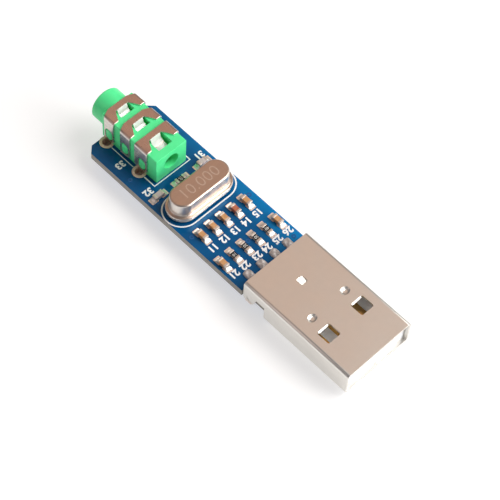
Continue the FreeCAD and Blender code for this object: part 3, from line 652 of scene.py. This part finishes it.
def makeTracks():
    # Copper under the mask: below the board, lines from the pins and leads and short runs from the decoder's
    # legs to filled holes; on top, a few filled holes
    tracks = {"wide": 0.3, "thick": 0.04, "hole": 0.16, "rim": 0.34, "holeCount": 16,
              "legPitch": 0.65, "legCount": 14, "legMiddle": -27.4, "footEnd": 3.85,
              "reaches": (0.75, 1.0, 1.25),
              "topHoles": [(-42.8, -5.12), (-37.0, 5.2), (-30.2, -5.3), (-24.6, -0.05), (-29.9, 5.35),
                           (-20.9, 5.1)]}
    pins, leads = board["pins"], board["leads"]
    lines = [[pins[0], (-48.3, -5.35), (-33.2, -5.35), (-31.9, -4.2)],
             [pins[1], (-41.6, -4.6), (-34.2, -4.6), (-32.6, -3.85)],
             [pins[2], (-44.8, 5.0), (-33.4, 5.0), (-32.2, 4.0)],
             [leads[0], (-33.4, -3.2)], [leads[1], (-33.4, 3.2)]]
    holes = []
    for number in range(tracks["legCount"]):
        along = tracks["legMiddle"] + (number - (tracks["legCount"] - 1) / 2) * tracks["legPitch"]
        for side in (-1, 1):
            start = side * tracks["footEnd"]
            end = start + side * tracks["reaches"][number % len(tracks["reaches"])]
            lines.append([(along, start), (along, end)])
            holes.append((along, end))
    bm = bmesh.new()
    level = boardLow.z - tracks["thick"] / 4  # a quarter of each line is sunk in the board
    for line in lines:
        addLine(bm, line, tracks["wide"], level, tracks["thick"])
    for spots, foot in ((holes, boardLow.z - tracks["thick"]), (tracks["topHoles"], boardHigh.z)):
        for spot in spots:
            addTube(bm, tracks["hole"], tracks["rim"], foot, foot + tracks["thick"], spot,
                    tracks["holeCount"])
    finishPiece("boardTracks", bm, materials["track"])


def makeLegend():
    legend = {"tall": 1.02, "bold": 0.058, "thick": 0.03, "turn": -90, "line": 0.22, "sideLine": 0.14,
              "rows": [(-27.05, (-4.3, -2.1, -0.1, 2.0, 4.1)),
                       (-22.1, (-5.1, -3.07, -0.83, 1.06, 3.08, 5.1))],
              "corners": [(-39.45, 4.8), (-39.68, -4.66), (-45.64, -4.48)],
              "jackRear": -39.75, "jackMouth": -50.9, "jackHalf": 3.35, "padGap": 1.15,
              "crystalWide": 5.45, "crystalLong": 12.05, "crystalSteps": 24}
    bm = bmesh.new()
    level = boardHigh.z + legend["thick"] / 2
    groups = [[(along, across) for across in row] for along, row in legend["rows"]] + [legend["corners"]]
    for tens, spots in enumerate(groups, start=1):
        for ones, spot in enumerate(spots, start=1):
            addNumber(bm, str(10 * tens + ones), legend["tall"], (*spot, level), legend["turn"],
                      legend["thick"], legend["bold"])
    # The jack's place: a line across its rear, and one along each side that stops at the pads
    rear, half, gap = legend["jackRear"], legend["jackHalf"], legend["padGap"]
    frontPin, rearPin, farPin = (spot[0] for spot in board["pins"])
    bracket = [(rearPin + gap, -half), (rear, -half), (rear, half), (farPin + gap, half)]
    addLine(bm, bracket, legend["line"], level, legend["thick"])
    for start, end, across in ((frontPin + gap, rearPin - gap, -half),
                               (farPin - gap, legend["jackMouth"], half)):
        addLine(bm, [(start, across), (end, across)], legend["sideLine"], level, legend["thick"])
    # The crystal's place: a stadium around it
    crystalAt = board["leads"][0][0]
    radius = legend["crystalWide"] / 2
    straight = (legend["crystalLong"] - legend["crystalWide"]) / 2
    ring = arc((crystalAt, straight), radius, 0, 180, legend["crystalSteps"])
    ring += arc((crystalAt, -straight), radius, 180, 360, legend["crystalSteps"])
    addLine(bm, ring, legend["line"], level, legend["thick"], closed=True)
    finishPiece("boardLegend", bm, materials["legend"])


makeBoard()
makeCopper()
makeTracks()
makeLegend()
print("board done")


# Jack

def makeJackBody():
    jack = {"soften": 0.12, "softenSteps": 3, "bossRound": 0.24, "bossSteps": 4, "bossReach": 0.01,
            "rimAngle": 1}
    bm = copyOfNode("jack_body")
    side = nodeBox("jack_body")[1].y
    # The side bosses are domed: their outer rims get a wide round
    rims = [edge for edge in bm.edges
            if all(abs(abs(vert.co.y) - side) < jack["bossReach"] for vert in edge.verts)
            and edge.calc_face_angle(0) > jack["rimAngle"]]
    roundEdges(bm, rims, jack["bossRound"], jack["bossSteps"])
    finishPiece("jackMoulding", bm, materials["jack"], ["jack_body"], soften=jack["soften"],
                segments=jack["softenSteps"])


clip = {"soften": 0.05, "cutRound": 0.09, "cutSteps": 4, "cutWeld": 0.004, "cutFacing": 0.99,
        "sheetTilt": 0.05, "notchHalf": 1.5, "springHalf": 0.95, "rootDrop": 0.15, "bendDrop": 0.9}


def roundCutEdge(bm, top):
    # The outer edge of the cut that looks toward the plug is rounded, over the fold and down both legs
    edges = []
    for edge in bm.edges:
        cuts = [face for face in edge.link_faces if face.normal.x > clip["cutFacing"]]
        sheets = [face for face in edge.link_faces if abs(face.normal.x) < clip["sheetTilt"]]
        if cuts and sheets and all(abs(vert.co.y) > clip["notchHalf"] for vert in edge.verts):
            if sheets[0].normal.dot(edge.verts[0].co * Vector((0, 1, 1))) > 0:
                edges.append(edge)
    roundEdges(bm, edges, clip["cutRound"], clip["cutSteps"], clamp=False)
    bmesh.ops.remove_doubles(bm, verts=bm.verts, dist=clip["cutWeld"])
    for vert in bm.verts:
        vert.co.z = min(vert.co.z, top)


def shapeSpring(bm, top, shape):
    # The tongue gets small pressed steps across it, and its sloping faces get the second material, a
    # near-white painted highlight
    bendLevel = top - clip["bendDrop"]
    tongue = [face for face in bm.faces if all(abs(vert.co.y) < clip["springHalf"] for vert in face.verts)
              and face.calc_center_median().z < top - clip["rootDrop"]]
    for face in tongue:
        face.material_index = 1
    bend = [vert for face in tongue for vert in face.verts if vert.co.z < bendLevel]
    start, end = min(vert.co.x for vert in bend), max(vert.co.x for vert in bend)
    for share, lift in shape["steps"]:
        reach = [face for face in bm.faces
                 if face.material_index == 1 and face.calc_center_median().z < bendLevel]
        edges = list(dict.fromkeys(edge for face in reach for edge in face.edges))
        verts = list(dict.fromkeys(vert for face in reach for vert in face.verts))
        cut = bmesh.ops.bisect_plane(bm, geom=reach + edges + verts, plane_no=(1, 0, 0),
                                     plane_co=(start + (end - start) * share, 0, 0))
        for vert in vertsIn(cut["geom_cut"]):
            vert.co.z += lift
    for face in bm.faces:
        middle = face.calc_center_median()
        share = (middle.x - start) / (end - start)
        if middle.z < bendLevel and any(near < share < far for near, far in shape["flats"]):
            face.material_index = 0


def makeClips():
    # Where each tongue is stepped, as a share of its length, and which stretches lie flat
    short = {"steps": [(0.26, 0.065)], "flats": [(0, 0.26)]}
    long = {"steps": [(0.14, 0.063), (0.46, -0.03), (0.58, 0.05), (0.80, -0.03), (0.88, 0.03)],
            "flats": [(0, 0.14), (0.46, 0.58)]}
    for spot, tongue in (("front", short), ("middle", short), ("rear", long)):
        name = "jack_clip_" + spot
        top = nodeBox(name)[1].z
        bm = copyOfNode(name)
        roundCutEdge(bm, top)
        shapeSpring(bm, top, tongue)
        piece = finishPiece(spot + "Clip", bm, materials["clip"], [name], soften=clip["soften"])
        # The second material is the painted highlight on the tongue's sloping faces
        piece.data.materials.append(materials["spring"])


makeJackBody()
makeClips()
print("jack done")


# Crystal

def makeCrystal():
    crystal = {"canWidth": 3.75, "flange": 0.35, "footInset": 0.4, "steps": 64,
               "rimRound": 0.12, "rimSteps": 4, "wallFoot": 0.3, "wallFootSteps": 6,
               "topRound": 0.27, "topSteps": 8,
               "number": "10.000", "tall": 1.8, "turn": 90, "thin": -0.036, "thick": 0.02,
               "baseInset": 0.05, "baseRound": 0.1, "leadRound": 0.06}
    low, high = nodeBox("crystal_can")
    middle = ((low.x + high.x) / 2, 0)
    straight = (high.y - low.y) - (high.x - low.x)
    edge, wall = (high.x - low.x) / 2, crystal["canWidth"] / 2
    flangeTop = low.z + crystal["flange"]
    rim, foot, crown = crystal["rimRound"], crystal["wallFoot"], crystal["topRound"]
    # From the underside round the flange's rim, up the hollow foot and the wall, and over the top
    profile = [(wall - crystal["footInset"], low.z), (edge - rim, low.z)]
    profile += arc((edge - rim, low.z + rim), rim, -90, 0, crystal["rimSteps"])[1:]
    profile += arc((edge - rim, flangeTop - rim), rim, 0, 90, crystal["rimSteps"])
    profile += arc((wall + foot, flangeTop + foot), foot, -90, -180, crystal["wallFootSteps"])
    profile += arc((wall - crown, high.z - crown), crown, 0, 90, crystal["topSteps"])
    profile += [(wall - crown - rim, high.z)]
    bm = bmesh.new()
    addStack(bm, profile, straight, middle, crystal["steps"])
    finishPiece("crystalCan", bm, materials["can"], ["crystal_can"])
    bm = bmesh.new()
    addNumber(bm, crystal["number"], crystal["tall"], (*middle, high.z), crystal["turn"], crystal["thick"],
              crystal["thin"])
    finishPiece("crystalNumber", bm, materials["engraved"])
    low, high = nodeBox("crystal_base")
    edge = (high.x - low.x) / 2 - crystal["baseInset"]
    soft = crystal["baseRound"]
    profile = [(edge - soft, low.z), (edge, low.z + soft), (edge, high.z - soft), (edge - soft, high.z)]
    bm = bmesh.new()
    addStack(bm, profile, straight, middle, crystal["steps"])
    finishPiece("crystalBase", bm, materials["base"], ["crystal_base"])
    finishPiece("crystalLeads", copyOfNode("crystal_leads"), materials["lead"],
                ["crystal_leads"], soften=crystal["leadRound"])


makeCrystal()
print("crystal done")


# Chips

chip = {"capacitors": 9, "resistors": 5,
        "looks": {"capacitor_4": "red", "capacitor_8": "rose", "capacitor_9": "rose"},
        "bodyRound": 0.05, "bodySteps": 2,
        "capWall": 0.03, "capLength": 0.38, "capRound": 0.05, "capSteps": 3,
        "solderLength": 0.6, "solderClimb": 0.5, "solderSteps": 8, "hollow": 2.2, "sideDrop": 0.5,
        "sideCurve": 3, "tuck": 0.04, "skin": 0.03, "bulge": 0.06,
        "padGrow": 0.1, "padThick": 0.03, "padRound": 0.1, "markTall": 0.46, "markThick": 0.02}


def makeChip(name, solder, pads, marks):
    low, high = nodeBox(name + "_end_caps")
    along = 0 if high.x - low.x > high.y - low.y else 1
    slot = name.split("_")[0]
    look = chip["looks"].get(name, "glaze" if slot == "resistor" else "tan")
    inset = Vector((chip["capWall"],) * 3)
    bm = bmesh.new()
    addBox(bm, low + inset, high - inset, chip["bodyRound"], chip["bodySteps"])
    finishPiece(name + ".body", bm, materials[look], [name])
    bm = bmesh.new()
    for way in (-1, 1):
        near, far = low.copy(), high.copy()
        if way > 0:
            near[along] = high[along] - chip["capLength"]
        else:
            far[along] = low[along] + chip["capLength"]
        addBox(bm, near, far, chip["capRound"], chip["capSteps"])
        addChipSolder(solder, near, far, along, way)
        addChipPad(pads, near, far, along, way)
    finishPiece(name + ".caps", bm, materials["cap"], [name + "_end_caps"])
    if slot == "resistor":
        middle = (low + high) / 2
        spot = (middle.x, middle.y, high.z - chip["capWall"])
        addNumber(marks, name[-1] + "0", chip["markTall"], spot, 90 * along - 90, chip["markThick"])


def addChipSolder(bm, low, high, along, way):
    # A hollow-faced fillet from the cap's end down to the pad
    across = 1 - along
    steps = chip["solderSteps"]
    made = bmesh.ops.create_grid(bm, x_segments=steps, y_segments=steps, size=1)
    start = high[along] - chip["tuck"] if way > 0 else low[along] + chip["tuck"]
    middle = (low[across] + high[across]) / 2
    half = (high[across] - low[across]) / 2
    climb = (high.z - low.z) * chip["solderClimb"]
    for vert in made["verts"]:
        out = (vert.co.x + 1) / 2
        side = vert.co.y
        drop = 1 - chip["sideDrop"] * abs(side) ** chip["sideCurve"]
        place = Vector((0, 0, low.z + chip["skin"] + climb * (1 - out) ** chip["hollow"] * drop))
        place[along] = start + way * out * (chip["solderLength"] + chip["tuck"])
        place[across] = middle + side * (half + chip["skin"] + chip["bulge"] * math.sin(math.pi * out))
        vert.co = place
    fresh, rim = drawOut(bm, [edge for edge in edgesAround(made["verts"]) if edge.is_boundary])
    for vert in fresh:
        vert.co.z = low.z
    bmesh.ops.edgeloop_fill(bm, edges=rim)


def addChipPad(bm, low, high, along, way):
    grow = Vector((chip["padGrow"], chip["padGrow"], 0))
    near, far = low - grow, high + grow
    if way > 0:
        far[along] += chip["solderLength"]
    else:
        near[along] -= chip["solderLength"]
    addPlate(bm, (near.x, near.y, low.z), (far.x, far.y, low.z + chip["padThick"]), chip["padRound"])


def makeChips():
    names = ["capacitor_%d" % number for number in range(1, chip["capacitors"] + 1)]
    names += ["resistor_%d" % number for number in range(1, chip["resistors"] + 1)]
    solder, pads, marks = bmesh.new(), bmesh.new(), bmesh.new()
    for name in names:
        makeChip(name, solder, pads, marks)
    finishPiece("chipSolder", solder, materials["solder"], ["chip_solder"])
    finishPiece("chipPads", pads, materials["pad"])
    finishPiece("chipMarks", marks, materials["mark"])


makeChips()
print("chips done")


# Solder on the tails and under the board

def makeTailSolder():
    # Uneven lumps over the contact tails
    tail = {"half": 0.66, "reach": 0.3, "steps": 18, "cornerPull": 0.16, "lift": 0.002, "lump": 0.36,
            "waves": (4.6, 4.1)}
    low, high = nodeBox("tail_solder")
    middle, half = (low.x + high.x + tail["reach"]) / 2, (high.x + tail["reach"] - low.x) / 2
    bm = bmesh.new()
    for offset in board["tails"]:
        made = bmesh.ops.create_grid(bm, x_segments=tail["steps"], y_segments=tail["steps"], size=1)
        for vert in made["verts"]:
            u, v = vert.co.x, vert.co.y
            shrink = 1 - tail["cornerPull"] * u * u * v * v
            dome = math.sqrt(max(0, (1 - u ** 4) * (1 - v ** 4)))
            wave = math.sin(tail["waves"][0] * u + 2 * offset) * math.cos(tail["waves"][1] * v - offset)
            lump = 1 - tail["lump"] * (1 + wave) / 2
            vert.co = (middle + half * u * shrink, offset + tail["half"] * v * shrink,
                       low.z + tail["lift"] + (high.z - low.z) * dome * lump)
        rim = [edge for edge in edgesAround(made["verts"]) if edge.is_boundary]
        bmesh.ops.edgeloop_fill(bm, edges=rim)
    finishPiece("tailSolder", bm, materials["tail"], ["tail_solder"])


def makePinSolder():
    # A hollow-sided cone under each pin and lead
    joint = {"pinRadius": 1.3, "leadRadius": 0.85, "tipShare": 0.45, "steps": 6, "count": 28}
    low, high = nodeBox("pin_solder")
    bend = arc((0, 0), 1, 90, 180, joint["steps"])
    bm = bmesh.new()
    for spots, radius in ((board["pins"], joint["pinRadius"]), (board["leads"], joint["leadRadius"])):
        slope = radius * (1 - joint["tipShare"])
        profile = [(radius + x * slope, low.z + z * (high.z - low.z)) for x, z in bend]
        for spot in spots:
            addStack(bm, profile, 0, spot, joint["count"])
    finishPiece("pinSolder", bm, materials["solder"], ["pin_solder"])


makeTailSolder()
makePinSolder()
print("solder done")


# Decoder under the board

def makeDecoder():
    decoder = {"soften": 0.06, "legSoften": 0.03}
    finishPiece("decoderBody", copyOfNode("decoder_chip"), materials["epoxy"], ["decoder_chip"],
                soften=decoder["soften"])
    finishPiece("decoderLegs", copyOfNode("decoder_leads"), materials["lead"],
                ["decoder_leads"], soften=decoder["legSoften"])


makeDecoder()
print("decoder done")


# Floor, light and camera

def makeFloor():
    floor = {"half": 1500, "gap": 0.01, "glow": 0.56, "rough": 0.9, "grain": 0.01,
             "tones": [(0.49, 0.49, 0.49), (0.51, 0.51, 0.51)]}
    level = cadBox[0].z / mm - floor["gap"]
    bm = bmesh.new()
    bmesh.ops.create_grid(bm, x_segments=1, y_segments=1, size=floor["half"],
                          matrix=Matrix.Translation((0, 0, level)))
    material = newMaterial("paleFloor", Roughness=floor["rough"], Emission_Color=(1, 1, 1, 1),
                           Emission_Strength=floor["glow"])
    feed(material, "Base Color", ramp(material, noise(material, floor["grain"]), *floor["tones"]))
    sheet = newPiece("floor", bm, material)


def makeRoom():
    # A dim room with one warm patch high behind the part, which its flat metal mirrors
    room = {"walls": (0.19, 0.19, 0.20), "patch": (0.835, 0.56, 0.42), "toward": (-0.535, 0.375, 0.757),
            "patchEdge": (0.88, 0.995)}
    world = bpy.data.worlds.new("studio")
    world.use_nodes = True
    outward = addNode(world, "ShaderNodeTexCoord").outputs["Generated"]
    nearness = dotWith(world, outward, Vector(room["toward"]).normalized())
    colour = ramp(world, nearness, room["walls"], room["patch"], room["patchEdge"])
    world.node_tree.links.new(colour, world.node_tree.nodes["Background"].inputs["Color"])
    bpy.context.scene.world = world


def makeLamps():
    # Soft boxes that look at the middle of the part; radiance sets how bright a box's own face is
    lamps = {"aim": (-25, 0, 0), "distance": 600, "boxes": [
        {"name": "key", "from": (0.40, 0.53, 0.75), "side": 430, "radiance": 5.6,
         "colour": (1.0, 0.985, 0.96)},
        {"name": "mouthSide", "from": (0.86, 0.36, 0.36), "side": 340, "radiance": 6.0,
         "colour": (1, 1, 1)},
        {"name": "foldSide", "from": (-0.35, -0.66, 0.66), "side": 400, "radiance": 0.7,
         "colour": (1.0, 0.74, 0.66)}]}
    aim = Vector(lamps["aim"])
    for box in lamps["boxes"]:
        place = aim + Vector(box["from"]).normalized() * lamps["distance"]
        lamp = bpy.data.lights.new(box["name"], "AREA")
        lamp.shape = "SQUARE"
        lamp.size = box["side"] * mm
        lamp.energy = box["radiance"] * math.pi * lamp.size ** 2
        lamp.color = box["colour"]
        holder = bpy.data.objects.new(box["name"], lamp)
        holder.location = place * mm
        holder.rotation_euler = (aim - place).to_track_quat("-Z", "Y").to_euler()
        bpy.context.scene.collection.objects.link(holder)


def makeCamera():
    view = {"place": (65.31, -99.84, 213.05), "aim": (-23.48, -0.74, 0), "roll": 4.673,
            "focalPixels": 1848.7, "imageSide": 500, "sensor": 36, "nearest": 0.01, "farthest": 10}
    camera = bpy.data.cameras.new("camera")
    camera.sensor_width = view["sensor"]
    camera.lens = view["focalPixels"] / view["imageSide"] * view["sensor"]
    camera.clip_start, camera.clip_end = view["nearest"], view["farthest"]
    holder = bpy.data.objects.new("camera", camera)
    place, aim = Vector(view["place"]), Vector(view["aim"])
    look = (aim - place).to_track_quat("-Z", "Y").to_matrix()
    turn = look @ Matrix.Rotation(math.radians(view["roll"]), 3, "Z")
    holder.matrix_world = Matrix.Translation(place * mm) @ turn.to_4x4()
    bpy.context.scene.collection.objects.link(holder)
    bpy.context.scene.camera = holder


makeFloor()
makeRoom()
makeLamps()
makeCamera()
bpy.context.scene.view_settings.view_transform = "Standard"
print("scene done")
